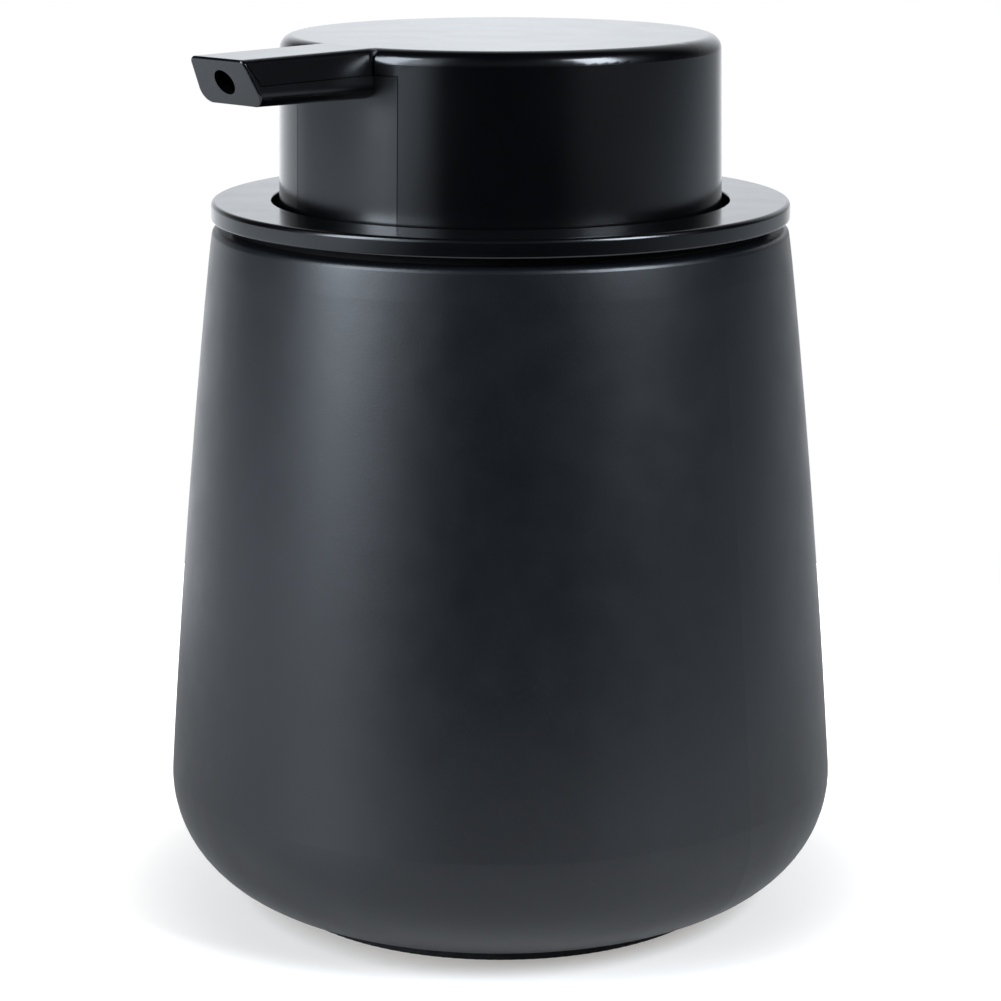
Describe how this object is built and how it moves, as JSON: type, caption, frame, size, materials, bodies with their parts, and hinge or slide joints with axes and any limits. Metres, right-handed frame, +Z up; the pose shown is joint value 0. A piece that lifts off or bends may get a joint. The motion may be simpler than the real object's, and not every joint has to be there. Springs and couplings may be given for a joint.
{
  "type": "soap pump dispenser",
  "caption": "Tapered round stoneware soap vessel with a lift-off lid ring and a wide press cap whose flat spout swivels and pumps liquid soap.",
  "frame": {"origin": "on the vessel's axis, at the face of the foot pad that it stands on", "axes": "+Z up along the vessel's axis, the spout points towards -Y at rest, +X is to the right seen from the front"},
  "size_m": [0.1068, 0.111, 0.1384],
  "materials": {
    "vessel_glaze": "matt anthracite stoneware glaze with a fine speckle",
    "pad_foam": "matt non-slip foam",
    "head_plastic": "satin black",
    "insert_plastic": "satin black",
    "lid_plastic": "satin black",
    "well_plastic": "matt black",
    "seal_silicone": "soft matt black silicone",
    "nut_plastic": "white",
    "housing_plastic": "natural translucent white",
    "collar_plastic": "black",
    "tube_plastic": "natural translucent",
    "piston_plastic": "natural white, soft",
    "stem_plastic": "black",
    "steel_ball": "polished",
    "spring_steel": "drawn wire"
  },
  "bodies": {
    "vessel": {"vessel": "vessel_glaze", "foot_pad": "pad_foam"},
    "lid": {"lid_ring": "lid_plastic", "pump_well": "well_plastic", "mouth_gasket": "seal_silicone", "housing_washer": "seal_silicone", "clamp_nut": "nut_plastic", "pump_housing": "housing_plastic", "guide_collar": "collar_plastic", "stem_wiper": "seal_silicone", "ball_retainer": "piston_plastic", "dip_tube": "tube_plastic"},
    "inlet_valve": {"inlet_ball": "steel_ball"},
    "plunger": {"piston": "piston_plastic", "piston_rod": "housing_plastic", "stem": "stem_plastic", "return_spring": "spring_steel"},
    "outlet_valve": {"outlet_ball": "steel_ball"},
    "head": {"head_cover": "head_plastic", "spout_insert": "insert_plastic"}
  },
  "joints": [
    {"name": "lid_lift", "type": "slide", "parent": "vessel", "child": "lid", "axis": [0, 0, 1], "range_m": [0, 0.105]},
    {"name": "pump_press", "type": "slide", "parent": "lid", "child": "plunger", "axis": [0, 0, -1], "range_m": [0, 0.014], "stiffness_N_per_m": 500, "springref_m": -0.016, "deforming": ["return_spring"]},
    {"name": "head_swivel", "type": "hinge", "parent": "plunger", "child": "head", "pos_m": [0, 0, 0.125], "axis": [0, 0, 1], "continuous": true},
    {"name": "inlet_check", "type": "slide", "parent": "lid", "child": "inlet_valve", "axis": [0, 0, 1], "range_m": [0, 0.0012]},
    {"name": "outlet_check", "type": "slide", "parent": "plunger", "child": "outlet_valve", "axis": [0, 0, 1], "range_m": [0, 0.001]}
  ]
}
